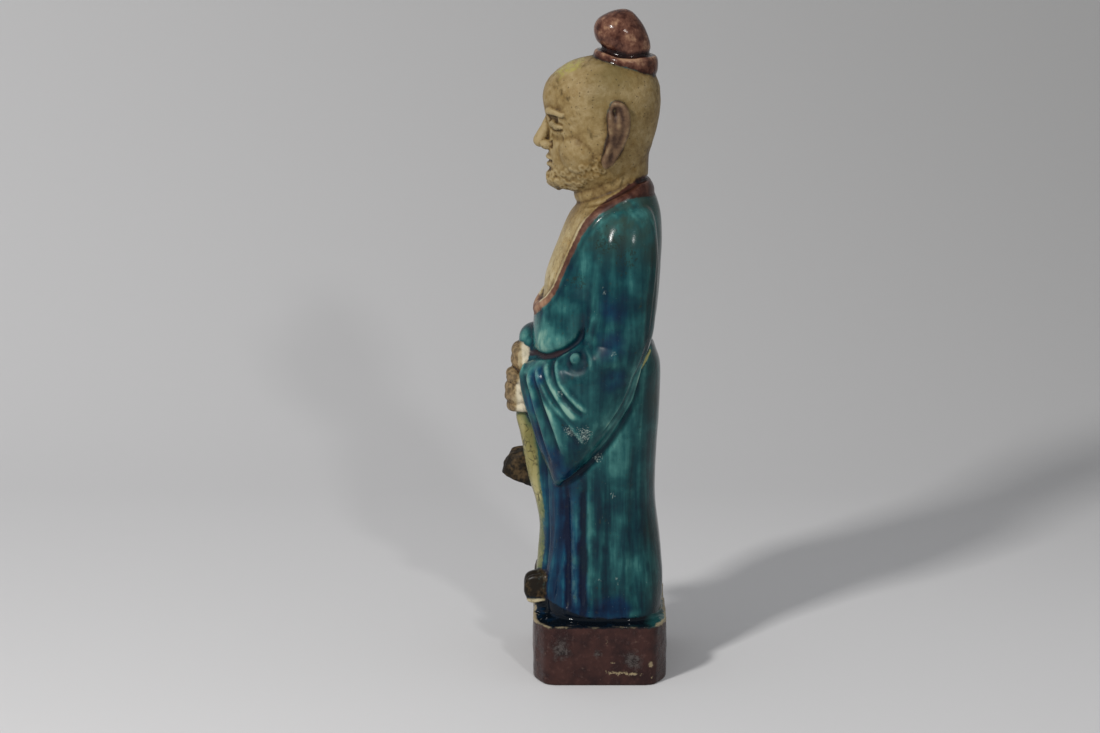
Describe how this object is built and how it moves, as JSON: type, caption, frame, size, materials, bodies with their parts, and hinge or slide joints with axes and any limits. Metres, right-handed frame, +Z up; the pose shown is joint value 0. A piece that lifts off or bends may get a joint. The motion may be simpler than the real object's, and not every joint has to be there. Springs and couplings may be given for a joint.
{
  "type": "glazed clay figurine",
  "caption": "Standing robed man with a topknot and clasped hands on a cut-cornered plinth, moulded and glazed in one piece.",
  "frame": {"origin": "centre of the plinth's flat underside", "axes": "+Z up along the figure, -Y the way the figure faces, +X the figure's left side"},
  "size_m": [0.052, 0.0518, 0.2084],
  "materials": {
    "glazed_clay": "gloss turquoise glaze with dark blue pooling, aubergine collar, topknot and plinth, bare cream clay head and chest"
  },
  "bodies": {
    "root": {"figurine": "glazed_clay"}
  },
  "joints": []
}
